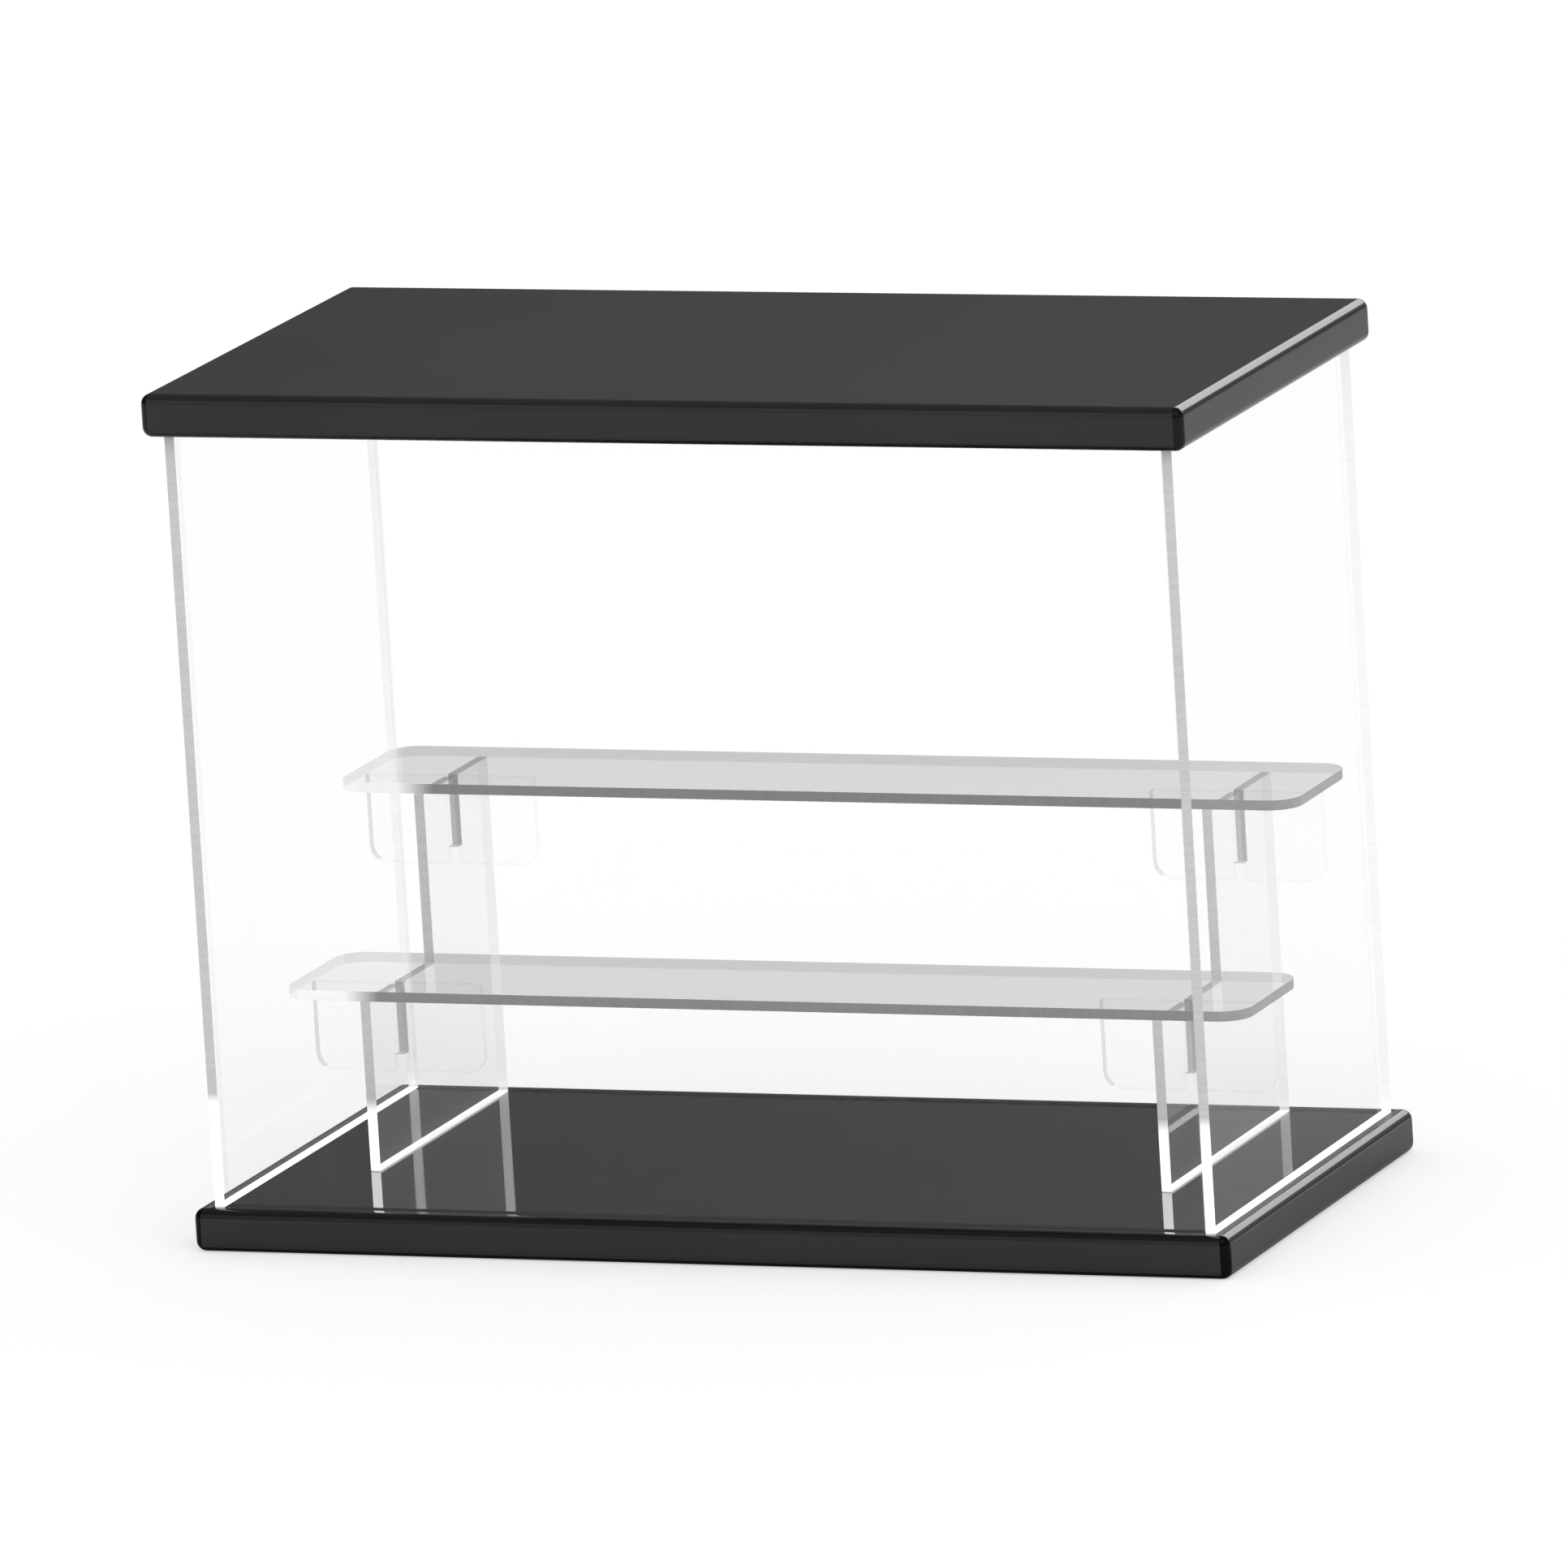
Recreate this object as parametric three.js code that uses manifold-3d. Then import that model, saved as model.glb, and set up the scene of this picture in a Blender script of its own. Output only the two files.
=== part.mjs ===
import * as THREE from 'three';
import { mergeVertices } from 'three/addons/utils/BufferGeometryUtils.js';
import Module from 'manifold-3d';

// Figurine display case: two black slabs, clear sheets in grooves between them, and a clear
// two-step riser inside that carries two shelves. Millimetres, +Z up, front towards -Y,
// origin at the middle of the underside.

const wasm = await Module();
wasm.setup();

// Overall size
const caseWidth = 302;
const caseDepth = 155;
const caseHeight = 240;

// Base and lid slabs
const slabThickness = 12;
const slabCornerRadius = 3;
const slabEdgeRadius = 2.5;
const grooveDepth = 5;

// Clear wall sheets
const wallThickness = 3;
const wallInset = 5;
const wallPlay = 0.25;

// Riser: one tread for each shelf
const treadRise = 48;
const treadDepth = 48.5;
const riserThickness = 3;
const riserBackGap = 0.5;

// Shelves
const shelfThickness = 3;
const shelfEndGap = 2;
const shelfBackGap = 0.5;
const shelfCornerRadius = 8;

// Brackets that cross the side plates under the shelves
const bracketLength = 50;
const bracketHeight = 25;
const bracketThickness = 3;
const bracketCornerRadius = 5;
const bracketNotchHeight = 5;
const lapPlay = 0.2;

// Overrun of every cutting solid past the face that it opens
const cutOverrun = 1;

// Smoothness of round stretches
const cornerSteps = 6;
const edgeSteps = 6;

// Heights and faces that follow from the sizes above
const lidUnderside = caseHeight - slabThickness;
const wallFoot = slabThickness - grooveDepth;
const wallHeight = caseHeight - wallFoot * 2;
const innerWidth = caseWidth - (wallInset + wallThickness) * 2;
const innerBack = caseDepth / 2 - wallInset - wallThickness;
const riserBack = innerBack - riserBackGap;
const riserFront = riserBack - treadDepth * 2;
const riserStep = riserBack - treadDepth;
const lowerTreadTop = slabThickness + treadRise;
const upperTreadTop = lowerTreadTop + treadRise;
const shelfLength = innerWidth - shelfEndGap * 2;
const shelfDepth = treadDepth - shelfBackGap;
const riserSideX = shelfLength / 2 - bracketLength / 2;

// Glossy black plastic of the two slabs
function blackGloss() {
  return new THREE.MeshStandardMaterial({ color: 0x36363a, roughness: 0.12, metalness: 0 });
}

// Clear acrylic of the sheets, riser and shelves
function clearAcrylic() {
  return new THREE.MeshStandardMaterial({
    color: 0xeef2f3,
    roughness: 0.05,
    metalness: 0,
    transparent: true,
    opacity: 0.28,
  });
}

// Closed solid from a closed geometry, for cutting
function toSolid(geometry) {
  const bare = geometry.clone();
  bare.deleteAttribute('normal');
  bare.deleteAttribute('uv');
  const merged = mergeVertices(bare);
  const vertProperties = new Float32Array(merged.attributes.position.array);
  const triVerts = new Uint32Array(merged.index.array);
  return new wasm.Manifold(new wasm.Mesh({ numProp: 3, vertProperties, triVerts }));
}

// Geometry from a cut solid
function toGeometry(solid) {
  const mesh = solid.getMesh();
  const geometry = new THREE.BufferGeometry();
  geometry.setAttribute('position', new THREE.BufferAttribute(mesh.vertProperties, mesh.numProp));
  geometry.setIndex(new THREE.BufferAttribute(mesh.triVerts, 1));
  geometry.computeVertexNormals();
  return geometry;
}

// Named mesh at its place
function piece(name, geometry, material, x, y, z) {
  const mesh = new THREE.Mesh(geometry, material);
  mesh.name = name;
  mesh.position.set(x, y, z);
  return mesh;
}

// Rectangle with round corners, centred on the origin
function roundedRectangle(width, depth, radius) {
  const right = width / 2;
  const back = depth / 2;
  const shape = new THREE.Shape();
  shape.moveTo(-right + radius, -back);
  shape.lineTo(right - radius, -back);
  shape.absarc(right - radius, -back + radius, radius, -Math.PI / 2, 0, false);
  shape.lineTo(right, back - radius);
  shape.absarc(right - radius, back - radius, radius, 0, Math.PI / 2, false);
  shape.lineTo(-right + radius, back);
  shape.absarc(-right + radius, back - radius, radius, Math.PI / 2, Math.PI, false);
  shape.lineTo(-right, -back + radius);
  shape.absarc(-right + radius, -back + radius, radius, Math.PI, Math.PI * 1.5, false);
  return shape;
}

// Slab with all its edges rounded over, standing on z = 0
function roundedSlab() {
  const outline = roundedRectangle(caseWidth, caseDepth, slabCornerRadius);
  const slab = new THREE.ExtrudeGeometry(outline, {
    depth: slabThickness - slabEdgeRadius * 2,
    curveSegments: cornerSteps,
    bevelEnabled: true,
    bevelThickness: slabEdgeRadius,
    bevelSize: slabEdgeRadius,
    bevelOffset: -slabEdgeRadius,
    bevelSegments: edgeSteps,
  });
  slab.translate(0, 0, slabEdgeRadius);
  return slab;
}

// Ring that the four wall sheets stand in, cut into the top of a slab
function wallGroove() {
  const outerWidth = caseWidth - (wallInset - wallPlay) * 2;
  const outerDepth = caseDepth - (wallInset - wallPlay) * 2;
  const grooveWidth = wallThickness + wallPlay * 2;
  const height = grooveDepth + cutOverrun;
  const centreZ = slabThickness - grooveDepth + height / 2;
  const outer = new THREE.BoxGeometry(outerWidth, outerDepth, height);
  const island = new THREE.BoxGeometry(
    outerWidth - grooveWidth * 2,
    outerDepth - grooveWidth * 2,
    height + cutOverrun * 2,
  );
  outer.translate(0, 0, centreZ);
  island.translate(0, 0, centreZ);
  return toSolid(outer).subtract(toSolid(island));
}

// Base slab, grooved on top
function basePlate() {
  const geometry = toGeometry(toSolid(roundedSlab()).subtract(wallGroove()));
  return piece('base_plate', geometry, blackGloss(), 0, 0, 0);
}

// Lid: the same slab turned over, resting on the top edges of the sheets
function topPlate() {
  const geometry = toGeometry(toSolid(roundedSlab()).subtract(wallGroove()));
  const lid = piece('top_plate', geometry, blackGloss(), 0, 0, caseHeight);
  lid.rotation.x = Math.PI;
  return lid;
}

// Clear side sheets, as deep as the groove ring
function sidePanels() {
  const depth = caseDepth - wallInset * 2;
  const x = caseWidth / 2 - wallInset - wallThickness / 2;
  const z = wallFoot + wallHeight / 2;
  return [['left_panel', -x], ['right_panel', x]].map(([name, side]) => {
    const sheet = new THREE.BoxGeometry(wallThickness, depth, wallHeight);
    return piece(name, sheet, clearAcrylic(), side, 0, z);
  });
}

// Clear front and back sheets, between the side sheets
function crossPanels() {
  const width = innerWidth - wallPlay * 2;
  const y = caseDepth / 2 - wallInset - wallThickness / 2;
  const z = wallFoot + wallHeight / 2;
  return [['front_panel', -y], ['back_panel', y]].map(([name, place]) => {
    const sheet = new THREE.BoxGeometry(width, wallThickness, wallHeight);
    return piece(name, sheet, clearAcrylic(), 0, place, z);
  });
}

// Middle of each tread, where a bracket crosses the side plate
function bracketPlaces() {
  return [
    { level: 'lower', y: riserFront + treadDepth / 2, top: lowerTreadTop },
    { level: 'upper', y: riserStep + treadDepth / 2, top: upperTreadTop },
  ];
}

// Outline of a stepped side plate, drawn with Y across and Z up, slotted for both brackets
function sidePlateOutline() {
  const slotHalf = bracketThickness / 2 + lapPlay;
  const slotDepth = bracketHeight - bracketNotchHeight;
  const [lower, upper] = bracketPlaces();
  const shape = new THREE.Shape();
  shape.moveTo(riserFront, slabThickness);
  shape.lineTo(riserBack, slabThickness);
  shape.lineTo(riserBack, upperTreadTop);
  [upper, lower].forEach((slot, order) => {
    if (order > 0) {
      shape.lineTo(riserStep, upperTreadTop);
      shape.lineTo(riserStep, lowerTreadTop);
    }
    shape.lineTo(slot.y + slotHalf, slot.top);
    shape.lineTo(slot.y + slotHalf, slot.top - slotDepth);
    shape.lineTo(slot.y - slotHalf, slot.top - slotDepth);
    shape.lineTo(slot.y - slotHalf, slot.top);
  });
  shape.lineTo(riserFront, lowerTreadTop);
  return shape;
}

// Stepped side plates of the riser
function riserSides() {
  return [['riser_side_left', -riserSideX], ['riser_side_right', riserSideX]].map(([name, x]) => {
    const plate = new THREE.ExtrudeGeometry(sidePlateOutline(), {
      depth: riserThickness,
      bevelEnabled: false,
    });
    plate.translate(0, 0, -riserThickness / 2);
    const mesh = piece(name, plate, clearAcrylic(), x, 0, 0);
    mesh.rotation.set(Math.PI / 2, 0, Math.PI / 2, 'ZYX');
    return mesh;
  });
}

// Outline of a bracket, drawn with X across and Z up from its top edge, notched from below
function bracketOutline() {
  const end = bracketLength / 2;
  const round = bracketCornerRadius;
  const notchHalf = riserThickness / 2 + lapPlay;
  const notchTop = -bracketHeight + bracketNotchHeight;
  const shape = new THREE.Shape();
  shape.moveTo(-end, 0);
  shape.lineTo(-end, -bracketHeight + round);
  shape.absarc(-end + round, -bracketHeight + round, round, Math.PI, Math.PI * 1.5, false);
  shape.lineTo(-notchHalf, -bracketHeight);
  shape.lineTo(-notchHalf, notchTop);
  shape.lineTo(notchHalf, notchTop);
  shape.lineTo(notchHalf, -bracketHeight);
  shape.lineTo(end - round, -bracketHeight);
  shape.absarc(end - round, -bracketHeight + round, round, -Math.PI / 2, 0, false);
  shape.lineTo(end, 0);
  return shape;
}

// Brackets, one on each side plate under each shelf
function brackets() {
  return bracketPlaces().flatMap(({ level, y, top }) =>
    [['left', -riserSideX], ['right', riserSideX]].map(([side, x]) => {
      const bracket = new THREE.ExtrudeGeometry(bracketOutline(), {
        depth: bracketThickness,
        curveSegments: cornerSteps,
        bevelEnabled: false,
      });
      bracket.translate(0, 0, -bracketThickness / 2);
      const mesh = piece(`${level}_bracket_${side}`, bracket, clearAcrylic(), x, y, top);
      mesh.rotation.x = Math.PI / 2;
      return mesh;
    }),
  );
}

// Shelves, flush with the front edges of the treads that they lie on
function shelves() {
  const places = [
    ['lower_shelf', riserFront, lowerTreadTop],
    ['upper_shelf', riserStep, upperTreadTop],
  ];
  return places.map(([name, front, top]) => {
    const outline = roundedRectangle(shelfLength, shelfDepth, shelfCornerRadius);
    const shelf = new THREE.ExtrudeGeometry(outline, {
      depth: shelfThickness,
      curveSegments: cornerSteps,
      bevelEnabled: false,
    });
    return piece(name, shelf, clearAcrylic(), 0, front + shelfDepth / 2, top);
  });
}

const displayCase = new THREE.Group();
displayCase.add(basePlate(), topPlate());
displayCase.add(...sidePanels(), ...crossPanels());
displayCase.add(...riserSides(), ...brackets(), ...shelves());

export default displayCase;
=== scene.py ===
import math

import bpy
from mathutils import Matrix, Vector


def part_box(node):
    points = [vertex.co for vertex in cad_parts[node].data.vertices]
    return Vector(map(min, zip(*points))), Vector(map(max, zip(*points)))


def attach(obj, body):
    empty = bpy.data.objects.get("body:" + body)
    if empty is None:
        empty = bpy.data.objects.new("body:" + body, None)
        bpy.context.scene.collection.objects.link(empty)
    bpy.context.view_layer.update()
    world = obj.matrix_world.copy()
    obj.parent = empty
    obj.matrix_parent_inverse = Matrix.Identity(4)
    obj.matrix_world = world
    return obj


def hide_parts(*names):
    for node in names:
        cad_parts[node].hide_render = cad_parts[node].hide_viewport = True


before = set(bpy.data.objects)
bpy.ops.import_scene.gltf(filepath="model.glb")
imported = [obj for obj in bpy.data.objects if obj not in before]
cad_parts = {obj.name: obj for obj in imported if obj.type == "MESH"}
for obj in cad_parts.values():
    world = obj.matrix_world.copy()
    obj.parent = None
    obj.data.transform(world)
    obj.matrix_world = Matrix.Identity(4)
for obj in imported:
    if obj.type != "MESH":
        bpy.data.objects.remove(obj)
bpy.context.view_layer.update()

# Sizes in metres that the boxes of the frame don't give
SLAB_CORNER_RADIUS = 0.003
SLAB_EDGE_RADIUS = 0.0028
GROOVE_DEPTH = 0.005
GROOVE_PLAY = 0.00025
RISER_SLOT_PLAY = 0.0002
BRACKET_CORNER_RADIUS = 0.005
BRACKET_NOTCH_HEIGHT = 0.005
SHELF_CORNER_RADIUS = 0.008
ARRIS = 0.00025
CUTTER_OVERRUN = 0.002
FACE_GAP = 0.00003

# Smoothness of round stretches
CORNER_STEPS = 8
EDGE_STEPS = 6
ARRIS_STEPS = 2
SHARP_ANGLE = math.radians(40)

X_AXIS = Vector((1, 0, 0))
Y_AXIS = Vector((0, 1, 0))
Z_AXIS = Vector((0, 0, 1))
TINY = 0.00001

# Least share of an edge's direction, and of a face's normal, that counts as along an axis
ALONG_EDGE = 0.999
ALONG_FACE = 0.9


# Editing helpers

def add_box(name, low, high):
    """A box between two corners, alone in the selection."""
    bpy.ops.object.select_all(action="DESELECT")
    bpy.ops.mesh.primitive_cube_add(size=1, location=(low + high) / 2, scale=high - low)
    piece = bpy.context.active_object
    piece.name = name
    piece.data.name = name
    bpy.ops.object.transform_apply(location=True, rotation=True, scale=True)
    return piece


def activate(piece):
    """Makes piece the only selected object."""
    bpy.ops.object.select_all(action="DESELECT")
    piece.select_set(True)
    bpy.context.view_layer.objects.active = piece


def pick(piece, kind, wanted):
    """Goes into edit mode with only the wanted edges or faces selected."""
    activate(piece)
    mesh = piece.data
    for parts in (mesh.vertices, mesh.edges, mesh.polygons):
        parts.foreach_set("select", [False] * len(parts))
    for part in mesh.edges if kind == "EDGE" else mesh.polygons:
        part.select = wanted(part)
    bpy.context.tool_settings.mesh_select_mode = (False, kind == "EDGE", kind == "FACE")
    bpy.ops.object.mode_set(mode="EDIT")


def leave_edit():
    bpy.ops.object.mode_set(mode="OBJECT")


def edge_ends(piece, edge):
    """The two end points of an edge."""
    return [piece.data.vertices[i].co for i in edge.vertices]


def runs_along(piece, edge, axis):
    """True if the edge runs along the axis."""
    first, second = edge_ends(piece, edge)
    return abs((second - first).normalized().dot(axis)) > ALONG_EDGE


def looks_along(face, axis):
    """True if a face looks along the axis, either way."""
    return abs(face.normal.dot(axis)) > ALONG_FACE


def round_picked(radius, steps):
    """Rounds the picked edges over and leaves edit mode."""
    bpy.ops.mesh.bevel(offset=radius, segments=steps, profile=0.5, affect="EDGES", clamp_overlap=False)
    leave_edit()


def cut_away(piece, cutter):
    """Cuts one solid out of another and removes the cutter."""
    cut = piece.modifiers.new("cut", "BOOLEAN")
    cut.operation = "DIFFERENCE"
    cut.solver = "EXACT"
    cut.object = cutter
    activate(piece)
    bpy.ops.object.modifier_apply(modifier=cut.name)
    bpy.data.objects.remove(cutter)


def split(piece, place, axis):
    """Runs a loop of edges round a piece, in the plane that lies across the axis at a place."""
    pick(piece, "FACE", lambda face: True)
    bpy.ops.mesh.bisect(plane_co=place, plane_no=axis)
    leave_edit()


def break_sharp_edges(piece):
    """Takes the sharpness off every cut edge, as a scraper does."""
    pick(piece, "EDGE", lambda edge: False)
    bpy.ops.mesh.edges_select_sharp(sharpness=SHARP_ANGLE)
    round_picked(ARRIS, ARRIS_STEPS)


def finish_surface(piece):
    """Merges doubles, shades round stretches smooth and keeps flat faces flat."""
    pick(piece, "FACE", lambda face: True)
    bpy.ops.mesh.remove_doubles(threshold=TINY / 2)
    bpy.ops.mesh.normals_make_consistent(inside=False)
    leave_edit()
    bpy.ops.object.shade_smooth_by_angle(angle=SHARP_ANGLE)
    weighted = piece.modifiers.new("weighted", "WEIGHTED_NORMAL")
    weighted.keep_sharp = True
    bpy.ops.object.modifier_apply(modifier=weighted.name)


# Node helpers

def new_material(name):
    """An empty node material and its output."""
    material = bpy.data.materials.new(name)
    material.use_nodes = True
    tree = material.node_tree
    tree.nodes.clear()
    return material, tree, tree.nodes.new("ShaderNodeOutputMaterial")


def add_node(tree, kind, values=None, **settings):
    """A node with its settings made and its inputs given numbers or linked to sockets."""
    node = tree.nodes.new(kind)
    for key, value in settings.items():
        setattr(node, key, value)
    for key, value in (values or {}).items():
        if isinstance(value, bpy.types.NodeSocket):
            tree.links.new(value, node.inputs[key])
        else:
            node.inputs[key].default_value = value
    return node


def object_place(tree):
    """Where a point is on its object."""
    return add_node(tree, "ShaderNodeTexCoord").outputs["Object"]


def axis_parts(tree, vector):
    """The X, Y and Z parts of a vector."""
    return add_node(tree, "ShaderNodeSeparateXYZ", {"Vector": vector}).outputs


def object_pattern(tree, scale):
    """Object coordinates stretched by a scale along each axis."""
    values = {"Vector": object_place(tree), "Scale": scale}
    return add_node(tree, "ShaderNodeMapping", values).outputs["Vector"]


# Range that a noise value mostly keeps to
NOISE_LOW = 0.3
NOISE_HIGH = 0.7


def noise(tree, scale, detail, stretch=(1, 1, 1)):
    """A noise value, with its scale per metre."""
    place = object_pattern(tree, stretch)
    values = {"Vector": place, "Scale": scale, "Detail": detail}
    return add_node(tree, "ShaderNodeTexNoise", values).outputs["Fac"]


def spread(tree, value, low, high, from_low=NOISE_LOW, from_high=NOISE_HIGH):
    """A value mapped from one range to another and kept inside it."""
    values = {"Value": value, "From Min": from_low, "From Max": from_high, "To Min": low, "To Max": high}
    return add_node(tree, "ShaderNodeMapRange", values).outputs["Result"]


def result(tree, operation, *values):
    """The result of a calculation with two or three values."""
    return add_node(tree, "ShaderNodeMath", dict(enumerate(values)), operation=operation).outputs[0]


def grey(tree, value):
    """A grey colour from a value."""
    values = {"Red": value, "Green": value, "Blue": value}
    return add_node(tree, "ShaderNodeCombineColor", values).outputs["Color"]


def mixed(tree, share, first, second):
    """A blend of two shaders."""
    return add_node(tree, "ShaderNodeMixShader", {0: share, 1: first, 2: second}).outputs[0]


def blend(tree, share, first, second):
    """A blend of two values."""
    values = {"Factor": share, "A": first, "B": second}
    return add_node(tree, "ShaderNodeMix", values, data_type="FLOAT").outputs["Result"]


def plain_grey(value):
    """A grey colour with full alpha."""
    return (value, value, value, 1)


BUMP_DISTANCE = 0.0001


def relief(tree, strength, height):
    """A surface normal with a fine relief."""
    values = {"Strength": strength, "Distance": BUMP_DISTANCE, "Height": height}
    return add_node(tree, "ShaderNodeBump", values).outputs["Normal"]


# Materials of the slabs

CLOUD_SCALE = 9
CLOUD_SHARE = 0.1
WIPE_SCALE = 60
WIPE_STRETCH = (1, 0.15, 1)
RIPPLE_SCALE = 420
RIPPLE_STRENGTH = 0.006
CLEAN_ROUGHNESS = 0.035
WIPED_ROUGHNESS = 0.075
COAT_ROUGHNESS = 0.03
COAT_IOR = 1.5


def black_gloss(name, tone, gloss_ior, coat=0.0, dullness=0.0):
    """Polished black plastic with faint clouds, wipe marks and ripples."""
    material, tree, output = new_material(name)
    cloud = noise(tree, CLOUD_SCALE, detail=2)
    wipes = noise(tree, WIPE_SCALE, detail=4, stretch=WIPE_STRETCH)
    ripple = noise(tree, RIPPLE_SCALE, detail=1)
    depth = grey(tree, spread(tree, cloud, tone * (1 - CLOUD_SHARE), tone * (1 + CLOUD_SHARE)))
    plastic = add_node(tree, "ShaderNodeBsdfPrincipled", {
        "Base Color": depth,
        "Roughness": spread(tree, wipes, dullness + CLEAN_ROUGHNESS, dullness + WIPED_ROUGHNESS),
        "IOR": gloss_ior,
        "Coat Weight": coat,
        "Coat Roughness": COAT_ROUGHNESS,
        "Coat IOR": COAT_IOR,
        "Normal": relief(tree, RIPPLE_STRENGTH, ripple),
    })
    tree.links.new(plastic.outputs[0], output.inputs["Surface"])
    return material


# Materials of the clear sheets

CLEAR_TINT = 0.998
DUST_TINT = 0.92
DUST_SCALE = 900
LEAST_DUST = 0.7
SMEAR_SCALE = 35
SMEAR_STRETCH = (1, 1, 0.5)
SMEAR_ROUGHNESS = 0.03

# Slanting line across a shelf, left of which its mirroring is weakened to a painted paler stretch
PALE_LINE_X = -0.116
PALE_LINE_SLOPE = 0.39
PALE_FADE = 0.004
PALE_SHARE = 0.35


def pale_end(tree):
    """How much of its mirroring a shelf keeps on the two sides of the painted pale line."""
    parts = axis_parts(tree, object_place(tree))
    across = result(tree, "MULTIPLY_ADD", parts["Y"], PALE_LINE_SLOPE, parts["X"])
    return spread(tree, across, PALE_SHARE, 1.0, PALE_LINE_X, PALE_LINE_X + PALE_FADE)


def clear_face(name, haze, gloss_ior, has_pale_end=False):
    """The polished face of a clear sheet: see-through, mirroring at a slant, with a trace of dust.
    Only its outside mirrors, so that the far side of a sheet adds no second image."""
    material, tree, output = new_material(name)
    smear = noise(tree, SMEAR_SCALE, detail=5, stretch=SMEAR_STRETCH)
    dust = noise(tree, DUST_SCALE, detail=2)
    clear = add_node(tree, "ShaderNodeBsdfTransparent", {"Color": plain_grey(CLEAR_TINT)}).outputs[0]
    mirror = add_node(tree, "ShaderNodeBsdfGlossy", {
        "Color": plain_grey(1),
        "Roughness": spread(tree, smear, 0.0, SMEAR_ROUGHNESS),
    }).outputs[0]
    slant = add_node(tree, "ShaderNodeFresnel", {"IOR": gloss_ior}).outputs[0]
    inside = add_node(tree, "ShaderNodeNewGeometry").outputs["Backfacing"]
    share = result(tree, "MULTIPLY", slant, result(tree, "SUBTRACT", 1.0, inside))
    if has_pale_end:
        share = result(tree, "MULTIPLY", share, pale_end(tree))
    pane = mixed(tree, share, clear, mirror)
    film = add_node(tree, "ShaderNodeBsdfDiffuse", {"Color": plain_grey(DUST_TINT)}).outputs[0]
    trace = spread(tree, dust, haze * LEAST_DUST, haze)
    tree.links.new(mixed(tree, trace, pane, film), output.inputs["Surface"])
    return material


ACRYLIC_IOR = 1.49
SAW_SCALE = 900
SAW_SHADE = 0.05
SAW_STRENGTH = 0.15
SAWN_ROUGHNESS = (0.3, 0.45)
END_FADE = 0.005


def cut_edge(name, stretch, tone, clear_share=0.0, glow=0.0, end=None, axis="Z", fade=END_FADE):
    """The sawn edge of a clear sheet: frosted grey with fine marks across the thickness.
    It has a painted glow, an emission in place of the light that the sheet gathers. With an end, the
    painted glow and a painted white lie only on the low side of that place on the axis."""
    material, tree, output = new_material(name)
    marks = noise(tree, SAW_SCALE, detail=3, stretch=stretch)
    level = tone
    painted_glow = glow
    if end is not None:
        along = axis_parts(tree, object_place(tree))[axis]
        level = spread(tree, along, 1.0, tone, end, end + fade)
        painted_glow = spread(tree, along, glow, 0.0, end, end + fade)
    shade = spread(tree, marks, 1 - SAW_SHADE, 1 + SAW_SHADE)
    frosted = add_node(tree, "ShaderNodeBsdfPrincipled", {
        "Base Color": grey(tree, result(tree, "MULTIPLY", shade, level)),
        "Roughness": spread(tree, marks, *SAWN_ROUGHNESS),
        "IOR": ACRYLIC_IOR,
        "Emission Color": plain_grey(1),
        "Emission Strength": painted_glow,
        "Normal": relief(tree, SAW_STRENGTH, marks),
    }).outputs[0]
    clear = add_node(tree, "ShaderNodeBsdfTransparent").outputs[0]
    tree.links.new(mixed(tree, clear_share, frosted, clear), output.inputs["Surface"])
    return material


# All the materials

# Height up to which an upright front edge is painted white with a painted glow, and the place up to which
# a shelf's left end is
WALL_FOOT_HEIGHT = 0.039
RISER_FOOT_HEIGHT = 0.0275
SHELF_BRIGHT_END = -0.122
SHELF_END_FADE = 0.01

# How strongly the cut edges have a painted glow
UPRIGHT_GLOW = 0.75
FOOT_GLOW = 0.5
BACK_GLOW = 0.45
SHELF_END_GLOW = 0.3
CROSS_TOP_GLOW = 0.2

# Stretch of the saw marks, slow across the thickness of a sheet
ACROSS_X = (0.05, 1, 1)
ACROSS_Y = (1, 0.05, 1)
ACROSS_Z = (1, 1, 0.05)

# Lit and shaded copies of one black plastic, one for each zone of a slab: their tones are painted shade
# and light, darker on the undersides and upright corners, lighter on the sides and end rounds
base_top = black_gloss("base_top_black", tone=0.0085, gloss_ior=1.5, coat=1.0)
base_side = black_gloss("base_side_black", tone=0.029, gloss_ior=1.42)
base_round = black_gloss("base_round_black", tone=0.009, gloss_ior=1.5)
base_under = black_gloss("base_under_black", tone=0.003, gloss_ior=1.2)
# The lip's lighter tone is painted light, where the glow of the sheets' foot falls
base_lip = black_gloss("base_lip_black", tone=0.13, gloss_ior=2.6, dullness=0.36)
base_end_round = black_gloss("base_end_round_black", tone=0.02, gloss_ior=3.0)
lid_top = black_gloss("lid_top_black", tone=0.045, gloss_ior=1.5)
lid_side = black_gloss("lid_side_black", tone=0.041, gloss_ior=1.21)
lid_round = black_gloss("lid_round_black", tone=0.018, gloss_ior=1.5)
lid_under = black_gloss("lid_under_black", tone=0.008, gloss_ior=1.25)
lid_end_round = black_gloss("lid_end_round_black", tone=0.03, gloss_ior=3.4)

# A face mirrors more strongly with a higher IOR
wall_face = clear_face("clear_wall_face", haze=0.025, gloss_ior=1.22)
wall_inner_face = clear_face("clear_wall_inner_face", haze=0.01, gloss_ior=1.08)
cross_face = clear_face("clear_cross_face", haze=0.005, gloss_ior=1.2)
riser_face = clear_face("clear_riser_face", haze=0.085, gloss_ior=1.42)
bracket_face = clear_face("clear_bracket_face", haze=0.01, gloss_ior=1.25)
shelf_face = clear_face("clear_shelf_face", haze=0.02, gloss_ior=1.58, has_pale_end=True)

# Lit and shaded copies of one cut edge, one for each side of a piece: their tones are painted light and
# shade
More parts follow.
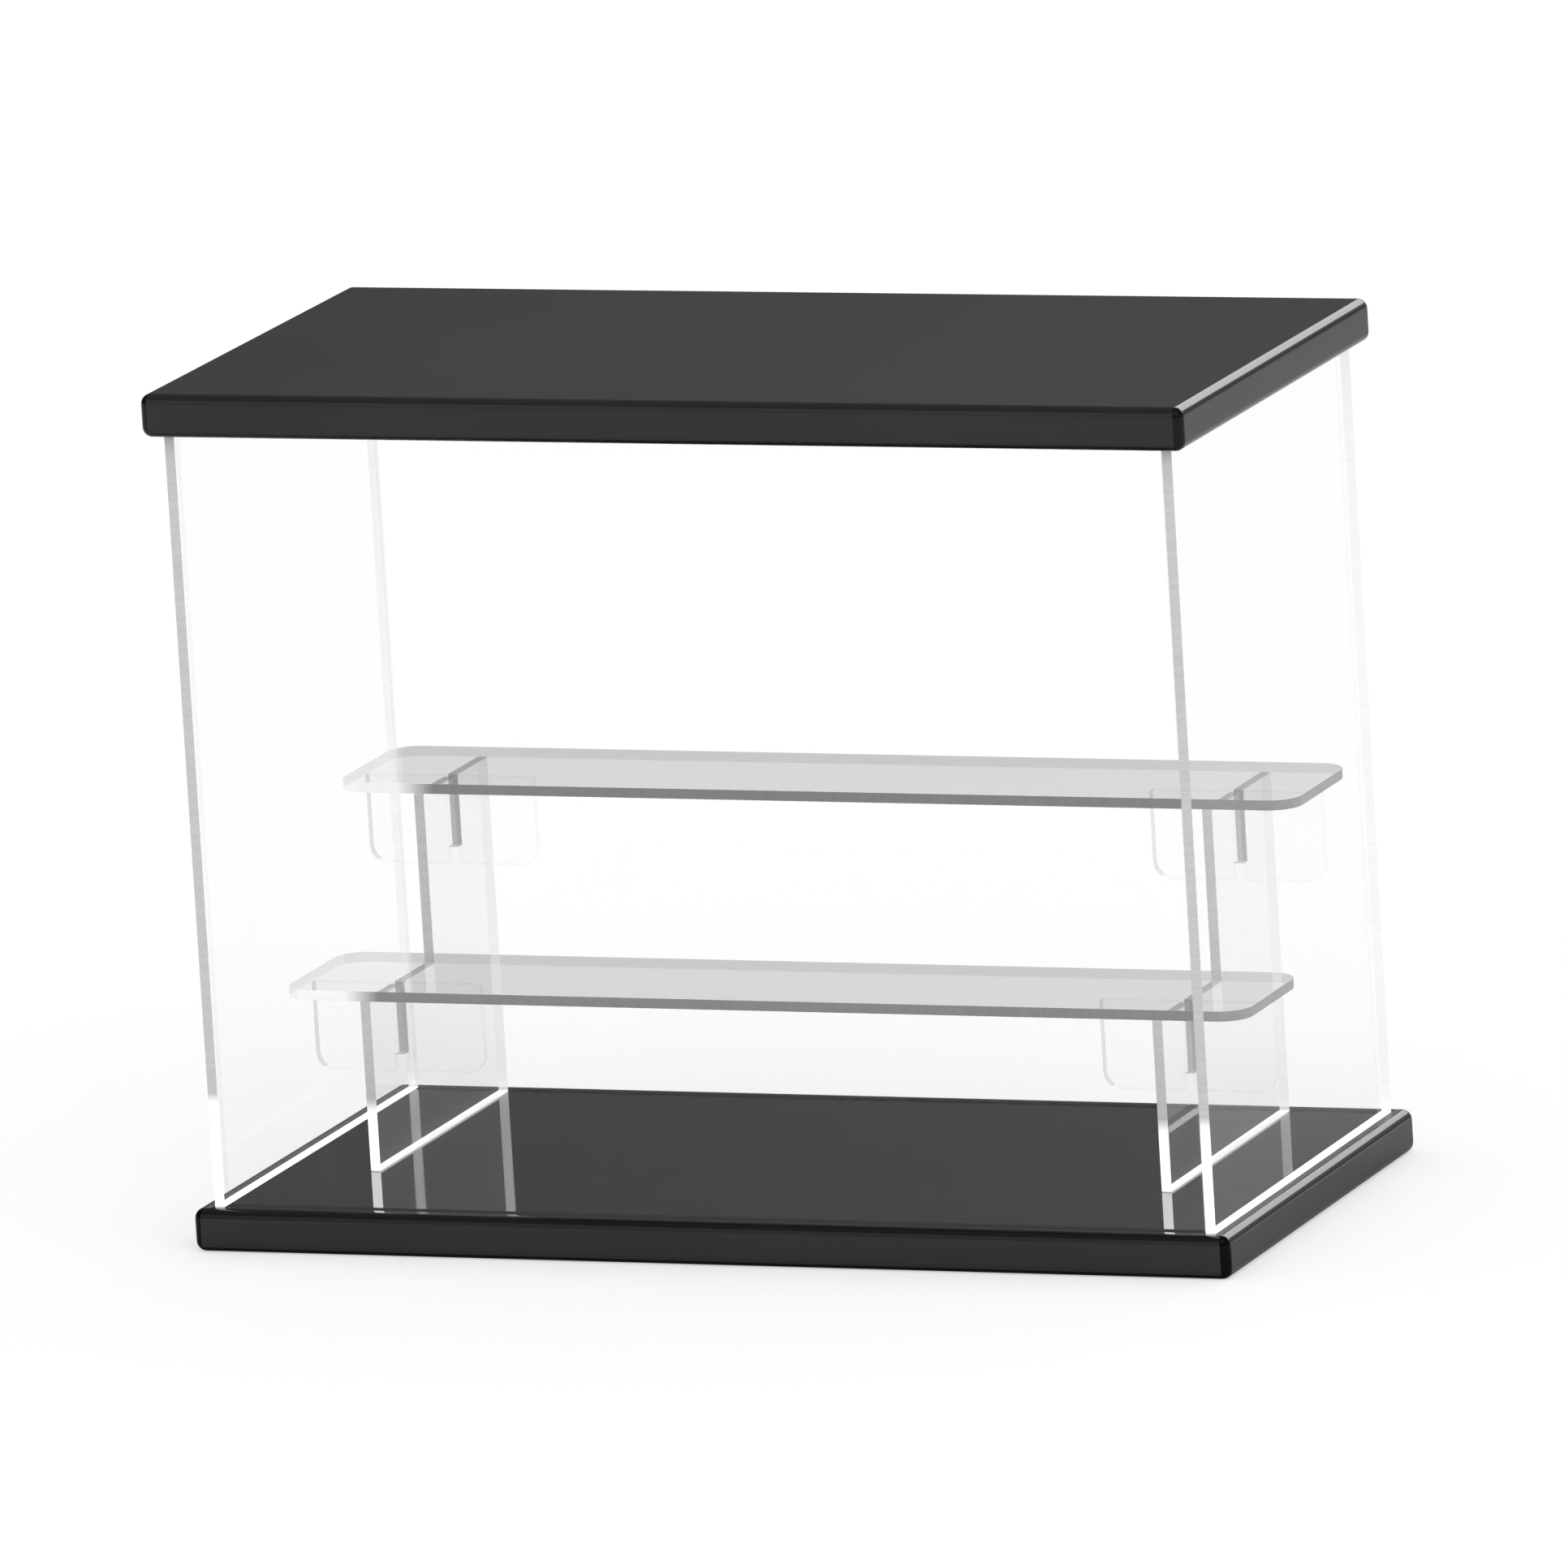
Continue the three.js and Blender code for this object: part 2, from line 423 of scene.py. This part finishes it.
wall_front_edge = cut_edge(
    "wall_front_edge", ACROSS_X, tone=0.8, glow=UPRIGHT_GLOW, end=WALL_FOOT_HEIGHT)
wall_back_edge = cut_edge("wall_back_edge", ACROSS_X, tone=0.8, clear_share=0.3, glow=BACK_GLOW)
# The foot of a side sheet in the groove is painted white with a painted glow
wall_buried_edge = cut_edge("wall_buried_edge", ACROSS_X, tone=1.0, glow=FOOT_GLOW)
cross_edge = cut_edge("cross_sheet_edge", ACROSS_Y, tone=0.85, clear_share=0.9)
# The foot of a front or back sheet in the groove is a painted shade
cross_buried_edge = cut_edge("cross_buried_edge", ACROSS_Y, tone=0.1)
cross_top_edge = cut_edge("cross_top_edge", ACROSS_Y, tone=0.8, clear_share=0.3, glow=CROSS_TOP_GLOW)
riser_front_edge = cut_edge(
    "riser_front_edge", ACROSS_X, tone=0.83, glow=UPRIGHT_GLOW, end=RISER_FOOT_HEIGHT)
riser_back_edge = cut_edge("riser_back_edge", ACROSS_X, tone=0.8, clear_share=0.3, glow=BACK_GLOW)
riser_tread_edge = cut_edge("riser_tread_edge", ACROSS_X, tone=0.6, clear_share=0.3)
# The foot of a riser plate is painted white with a painted glow
riser_foot_edge = cut_edge("riser_foot_edge", ACROSS_X, tone=1.0, glow=FOOT_GLOW)
riser_slot_edge = cut_edge("riser_slot_edge", ACROSS_X, tone=0.72)
riser_slot_front_edge = cut_edge("riser_slot_front_edge", ACROSS_X, tone=0.8, clear_share=0.9)
bracket_edge = cut_edge("bracket_edge", ACROSS_Y, tone=0.85, clear_share=0.92)
bracket_left_edge = cut_edge("bracket_left_edge", ACROSS_Y, tone=0.75, clear_share=0.6)
shelf_front_edge = cut_edge(
    "shelf_front_edge", ACROSS_Z, tone=0.36,
    glow=SHELF_END_GLOW, end=SHELF_BRIGHT_END, axis="X", fade=SHELF_END_FADE)
shelf_left_edge = cut_edge("shelf_left_edge", ACROSS_Z, tone=0.8, clear_share=0.82)
shelf_right_edge = cut_edge("shelf_right_edge", ACROSS_Z, tone=0.34, clear_share=0.05)
shelf_back_edge = cut_edge("shelf_back_edge", ACROSS_Z, tone=0.65, clear_share=0.75)


# Last steps of every piece

def dress(piece, choose):
    """Gives each face of a piece the material that choose returns for it."""
    slots = piece.data.materials
    for face in piece.data.polygons:
        material = choose(face)
        if slots.find(material.name) < 0:
            slots.append(material)
        face.material_index = slots.find(material.name)


def join_frame(piece, body, node):
    """Puts a finished piece in the frame, in the place of its node."""
    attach(piece, body)
    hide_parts(node)


# Black slabs

def groove_ring(low_z, high_z):
    """The ring that the wall sheets stand in, as a frame with a square hole."""
    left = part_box("left_panel")
    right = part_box("right_panel")
    low = Vector((left[0].x - GROOVE_PLAY, left[0].y - GROOVE_PLAY, low_z))
    high = Vector((right[1].x + GROOVE_PLAY, right[1].y + GROOVE_PLAY, high_z))
    ring = add_box("groove_ring", low, high)
    pick(ring, "FACE", lambda face: looks_along(face, Z_AXIS))
    width = left[1].x - left[0].x + 2 * GROOVE_PLAY
    bpy.ops.mesh.inset(thickness=width, use_individual=True)
    bpy.ops.mesh.bridge_edge_loops()
    leave_edit()
    return ring


# Parts of a face's normal that tell a corner, the underside, an upright side and a flat top
CORNER_PART = 0.1
UNDER_PART = -0.6
SIDE_PART = 0.8
FLAT_PART = 0.999


def slab_zone(face, lip_x):
    """The zone of a slab that a face belongs to. The lips lie outside the side sheets."""
    across, along, up = (abs(part) for part in face.normal)
    if min(across, along) > CORNER_PART or face.normal.z < UNDER_PART:
        return "under"
    if max(across, along) > SIDE_PART:
        return "side"
    if up > FLAT_PART:
        return "lip" if abs(face.center.x) > lip_x else "top"
    return "end_round" if across > along else "round"


def make_slab(name, node, body, groove_face, zones):
    """A slab with round corners and edges, and a groove in the face that holds the sheets."""
    low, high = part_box(node)
    slab = add_box(name, low, high)
    pick(slab, "EDGE", lambda edge: runs_along(slab, edge, Z_AXIS))
    round_picked(SLAB_CORNER_RADIUS, CORNER_STEPS)
    pick(slab, "EDGE", lambda edge: not runs_along(slab, edge, Z_AXIS))
    round_picked(SLAB_EDGE_RADIUS, EDGE_STEPS)
    if groove_face == "top":
        ring = groove_ring(high.z - GROOVE_DEPTH, high.z + CUTTER_OVERRUN)
    else:
        ring = groove_ring(low.z - CUTTER_OVERRUN, low.z + GROOVE_DEPTH)
    cut_away(slab, ring)
    lip_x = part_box("right_panel")[1].x + GROOVE_PLAY
    for side_x in (-lip_x, lip_x):
        split(slab, (side_x, 0, 0), X_AXIS)
    finish_surface(slab)
    dress(slab, lambda face: zones[slab_zone(face, lip_x)])
    join_frame(slab, body, node)


# The round upright corners take the painted dark shade of the underside
base_zones = {
    "top": base_top,
    "lip": base_lip,
    "side": base_side,
    "round": base_round,
    "end_round": base_end_round,
    "under": base_under,
}
lid_zones = {
    "top": lid_top,
    "lip": lid_top,
    "side": lid_side,
    "round": lid_round,
    "end_round": lid_end_round,
    "under": lid_under,
}
make_slab("base_slab", "base_plate", "case", "top", base_zones)
make_slab("lid_slab", "top_plate", "lid", "bottom", lid_zones)


# Clear wall sheets

BASE_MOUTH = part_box("base_plate")[1].z

# Part of a face's normal that tells the top edge
UPWARD_PART = 0.5


def stand_sheet(name, node):
    """An upright sheet, just clear of what it stands on and what lies on it, with a loop of edges
    at the mouth of the groove in the base."""
    low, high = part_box(node)
    sheet = add_box(name, low + FACE_GAP * Z_AXIS, high - FACE_GAP * Z_AXIS)
    break_sharp_edges(sheet)
    split(sheet, (0, 0, BASE_MOUTH), Z_AXIS)
    finish_surface(sheet)
    return sheet


def is_buried(face):
    """True if a face of a wall sheet is inside the groove of the base."""
    return face.center.z < BASE_MOUTH


def make_side_sheet(name, node):
    """A side sheet: polished faces, grey front, back and top edges, and a painted bright glow in the
    groove.
    """
    sheet = stand_sheet(name, node)

    def choose(face):
        if is_buried(face):
            return wall_buried_edge
        if looks_along(face, X_AXIS):
            looks_out = face.normal.x * face.center.x > 0
            return wall_face if looks_out else wall_inner_face
        return wall_front_edge if face.normal.y < 0 else wall_back_edge

    dress(sheet, choose)
    join_frame(sheet, "case", node)


def make_cross_sheet(name, node):
    """A front or back sheet: its ends hide against the side sheets, and its foot has a painted shade in
    the groove.
    """
    sheet = stand_sheet(name, node)

    def choose(face):
        if is_buried(face):
            return cross_buried_edge
        if looks_along(face, Y_AXIS):
            return cross_face
        return cross_top_edge if face.normal.z > UPWARD_PART else cross_edge

    dress(sheet, choose)
    join_frame(sheet, "case", node)


make_side_sheet("left_sheet", "left_panel")
make_side_sheet("right_sheet", "right_panel")
make_cross_sheet("front_sheet", "front_panel")
make_cross_sheet("back_sheet", "back_panel")


# Riser

# Height of the painted bright glow along the foot of a side plate, where it meets the base
FOOT_STRIP_HEIGHT = 0.0004

# Parts of a face's normal that tell a level edge and a bracket's end
LEVEL_PART = 0.7
END_PART = 0.5

# Part of a bracket's width, to each side of its middle, in which its notch lies
NOTCH_ZONE = 1 / 6


def make_riser_plate(name, node, brackets):
    """A stepped side plate with a slot from above for each bracket."""
    low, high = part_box(node)
    lower, upper = (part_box(bracket) for bracket in brackets)
    step_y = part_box("upper_shelf")[0].y
    floor_z = low.z + FACE_GAP
    plate = add_box(name, Vector((low.x, low.y, floor_z)), Vector((high.x, high.y, lower[1].z)))
    split(plate, (0, step_y, 0), Y_AXIS)
    pick(plate, "FACE", lambda face: face.normal.z > ALONG_FACE and face.center.y > step_y)
    rise = Vector((0, 0, high.z - lower[1].z))
    bpy.ops.mesh.extrude_region_move(TRANSFORM_OT_translate={"value": rise})
    leave_edit()
    for bracket in (lower, upper):
        slot_low = Vector((
            low.x - CUTTER_OVERRUN,
            bracket[0].y - RISER_SLOT_PLAY,
            bracket[0].z + BRACKET_NOTCH_HEIGHT,
        ))
        slot_high = Vector((
            high.x + CUTTER_OVERRUN,
            bracket[1].y + RISER_SLOT_PLAY,
            bracket[1].z + CUTTER_OVERRUN,
        ))
        cut_away(plate, add_box("slot", slot_low, slot_high))
    break_sharp_edges(plate)
    strip_top = low.z + FOOT_STRIP_HEIGHT
    split(plate, (0, 0, strip_top), Z_AXIS)
    finish_surface(plate)
    slots = [(bracket[0].y + bracket[1].y) / 2 for bracket in (lower, upper)]
    slot_reach = high.x - low.x

    def choose(face):
        if face.center.z < strip_top:
            return riser_foot_edge
        if looks_along(face, X_AXIS):
            return riser_face
        if abs(face.normal.z) > LEVEL_PART:
            return riser_tread_edge
        in_slot = any(abs(face.center.y - slot) < slot_reach for slot in slots)
        if face.normal.y < 0:
            return riser_slot_edge if in_slot else riser_front_edge
        return riser_slot_front_edge if in_slot else riser_back_edge

    dress(plate, choose)
    join_frame(plate, "riser", node)


def make_bracket(name, node, plate_node):
    """A small plate with round lower corners and a notch from below for the side plate."""
    low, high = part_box(node)
    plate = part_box(plate_node)
    bracket = add_box(name, low, high)
    bottom = low.z + TINY
    pick(bracket, "EDGE", lambda edge: runs_along(bracket, edge, Y_AXIS)
         and max(end.z for end in edge_ends(bracket, edge)) < bottom)
    round_picked(BRACKET_CORNER_RADIUS, CORNER_STEPS)
    notch_low = Vector((
        plate[0].x - RISER_SLOT_PLAY,
        low.y - CUTTER_OVERRUN,
        low.z - CUTTER_OVERRUN,
    ))
    notch_high = Vector((
        plate[1].x + RISER_SLOT_PLAY,
        high.y + CUTTER_OVERRUN,
        low.z + BRACKET_NOTCH_HEIGHT + FACE_GAP,
    ))
    cut_away(bracket, add_box("notch", notch_low, notch_high))
    break_sharp_edges(bracket)
    finish_surface(bracket)
    near_notch = (high.x - low.x) * NOTCH_ZONE
    middle = (low.x + high.x) / 2

    def choose(face):
        if looks_along(face, Y_AXIS):
            return bracket_face
        at_end = abs(face.center.x - middle) >= near_notch
        return bracket_left_edge if at_end and face.normal.x < -END_PART else bracket_edge

    dress(bracket, choose)
    join_frame(bracket, "riser", node)


for side in ("left", "right"):
    side_node = f"riser_side_{side}"
    bracket_nodes = [f"lower_bracket_{side}", f"upper_bracket_{side}"]
    make_riser_plate(f"{side}_riser_plate", side_node, bracket_nodes)
    for bracket_node in bracket_nodes:
        make_bracket(f"{bracket_node}_plate", bracket_node, side_node)


# Shelves

# Parts of a face's normal that tell a shelf's front, back and left edges
SHELF_FRONT_PART = -0.6
SHELF_BACK_PART = 0.6
SHELF_LEFT_PART = -0.35


def make_shelf(name, node, body):
    """A shelf with round corners, its front and right edges darkest with painted shade."""
    low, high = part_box(node)
    shelf = add_box(name, low + FACE_GAP * Z_AXIS, high)
    pick(shelf, "EDGE", lambda edge: runs_along(shelf, edge, Z_AXIS))
    round_picked(SHELF_CORNER_RADIUS, CORNER_STEPS)
    break_sharp_edges(shelf)
    finish_surface(shelf)

    def choose(face):
        if looks_along(face, Z_AXIS):
            return shelf_face
        if face.normal.y > SHELF_BACK_PART:
            return shelf_back_edge
        if face.normal.x < SHELF_LEFT_PART:
            return shelf_left_edge
        return shelf_front_edge if face.normal.y < SHELF_FRONT_PART else shelf_right_edge

    dress(shelf, choose)
    join_frame(shelf, body, node)


make_shelf("lower_shelf_sheet", "lower_shelf", "shelf_lower")
make_shelf("upper_shelf_sheet", "upper_shelf", "shelf_upper")


# Camera, fitted to the corners and edges in the photograph

CAMERA_AZIMUTH = math.radians(21.333)
CAMERA_ELEVATION = math.radians(11.918)
CAMERA_ROLL = math.radians(-3.481)
CAMERA_DISTANCE = 6.1214
CAMERA_LENS = 512.61
CAMERA_SENSOR = 36
CAMERA_REACH = 100
AIM_HEIGHT = 0.12
AIM_RIGHT = 0.000767
AIM_UP = -0.002415


def place_camera():
    """The camera at the photograph's angle."""
    level = math.cos(CAMERA_ELEVATION)
    back = Vector((
        math.sin(CAMERA_AZIMUTH) * level,
        -math.cos(CAMERA_AZIMUTH) * level,
        math.sin(CAMERA_ELEVATION),
    ))
    level_right = Z_AXIS.cross(back).normalized()
    level_up = back.cross(level_right)
    right = math.cos(CAMERA_ROLL) * level_right + math.sin(CAMERA_ROLL) * level_up
    up = math.cos(CAMERA_ROLL) * level_up - math.sin(CAMERA_ROLL) * level_right
    aim = Vector((0, 0, AIM_HEIGHT)) + AIM_RIGHT * right + AIM_UP * up
    lens = bpy.data.cameras.new("camera")
    lens.lens = CAMERA_LENS
    lens.sensor_width = CAMERA_SENSOR
    lens.clip_end = CAMERA_REACH
    camera = bpy.data.objects.new("camera", lens)
    turn = Matrix((right, up, back)).transposed().to_4x4()
    camera.matrix_world = Matrix.Translation(aim + CAMERA_DISTANCE * back) @ turn
    bpy.context.scene.collection.objects.link(camera)
    bpy.context.scene.camera = camera


place_camera()


# Floor, light and background

# The floor is lifted to white for the eye. In mirrors, it is lifted away from the case only, which leaves
# a painted shadow on the floor round the case.
FLOOR_SIZE = 30
FLOOR_COLOUR = 0.55
FLOOR_LIFT = 0.515
FLOOR_MIRROR_LIFT = 0.4
NEAR_FLOOR = 0.17
OPEN_FLOOR = 0.3


def seen(tree, path):
    """1 for rays from the eye, also through clear pieces, and otherwise 0."""
    return result(tree, "MAXIMUM", path["Is Camera Ray"], path["Is Transmission Ray"])


def white_floor():
    """A pale floor that is white to the eye and keeps a soft shadow."""
    bpy.ops.object.select_all(action="DESELECT")
    bpy.ops.mesh.primitive_plane_add(size=FLOOR_SIZE)
    floor = bpy.context.active_object
    floor.name = "floor"
    material, tree, output = new_material("floor")
    paper = add_node(tree, "ShaderNodeBsdfDiffuse", {"Color": plain_grey(FLOOR_COLOUR)}).outputs[0]
    path = add_node(tree, "ShaderNodeLightPath").outputs
    place = {0: object_place(tree)}
    distance = add_node(tree, "ShaderNodeVectorMath", place, operation="LENGTH").outputs["Value"]
    mirror_lift = spread(tree, distance, 0.0, FLOOR_MIRROR_LIFT, NEAR_FLOOR, OPEN_FLOOR)
    mirrored = result(tree, "MULTIPLY", path["Is Glossy Ray"], mirror_lift)
    lift = result(tree, "MULTIPLY_ADD", seen(tree, path), FLOOR_LIFT, mirrored)
    glow = add_node(tree, "ShaderNodeEmission", {"Strength": lift}).outputs[0]
    both = add_node(tree, "ShaderNodeAddShader", {0: paper, 1: glow}).outputs[0]
    tree.links.new(both, output.inputs["Surface"])
    floor.data.materials.append(material)


# Levels of the room in the mirrors, and the parts of a direction between which they change
AMBIENT = 0.85
DARK_WALL = 0.063
PALE_WALL = 0.2
CEILING = 0.12
DARK_WALL_X = -0.4
PALE_WALL_X = -0.2
WALL_TOP = 0.3
CEILING_EDGE = 0.6


def studio_world():
    """White to the eye, a plain level of light, and a darker room in the mirrors."""
    world = bpy.data.worlds.new("studio")
    world.use_nodes = True
    tree = world.node_tree
    tree.nodes.clear()
    direction = add_node(tree, "ShaderNodeTexCoord").outputs["Generated"]
    parts = axis_parts(tree, direction)
    wall = spread(tree, parts["X"], DARK_WALL, PALE_WALL, DARK_WALL_X, PALE_WALL_X)
    rise = spread(tree, parts["Z"], 0.0, 1.0, WALL_TOP, CEILING_EDGE)
    room = blend(tree, rise, wall, CEILING)
    path = add_node(tree, "ShaderNodeLightPath").outputs
    plain = blend(tree, seen(tree, path), AMBIENT, 1.0)
    level = blend(tree, path["Is Glossy Ray"], plain, room)
    light = add_node(tree, "ShaderNodeBackground", {"Color": plain_grey(1), "Strength": level})
    output = add_node(tree, "ShaderNodeOutputWorld")
    tree.links.new(light.outputs[0], output.inputs["Surface"])
    bpy.context.scene.world = world


def soft_box(name, azimuth, elevation, distance, width, height, radiance):
    """A soft area lamp that faces the case. Azimuth 0 is behind it, and 90 to its right."""
    lamp = bpy.data.lights.new(name, "AREA")
    lamp.shape = "RECTANGLE"
    lamp.size = width
    lamp.size_y = height
    lamp.energy = radiance * math.pi * width * height
    box = bpy.data.objects.new(name, lamp)
    turn = math.radians(azimuth)
    tilt = math.radians(elevation)
    away = Vector((
        math.sin(turn) * math.cos(tilt),
        math.cos(turn) * math.cos(tilt),
        math.sin(tilt),
    ))
    box.matrix_world = away.to_track_quat("Z", "Y").to_matrix().to_4x4()
    box.location = Vector((0, 0, AIM_HEIGHT)) + distance * away
    bpy.context.scene.collection.objects.link(box)


white_floor()
studio_world()
soft_box("back_soft_box", azimuth=5.5, elevation=24, distance=6, width=4.7, height=1.26, radiance=1.3)
soft_box("front_soft_box", azimuth=130, elevation=50, distance=2, width=1.2, height=1.2, radiance=1.0)


# Picture settings, with bounces enough for all the clear faces in line

scene = bpy.context.scene
scene.view_settings.view_transform = "Standard"
scene.cycles.transparent_max_bounces = 64
scene.cycles.max_bounces = 16
scene.cycles.glossy_bounces = 8
scene.cycles.use_denoising = True
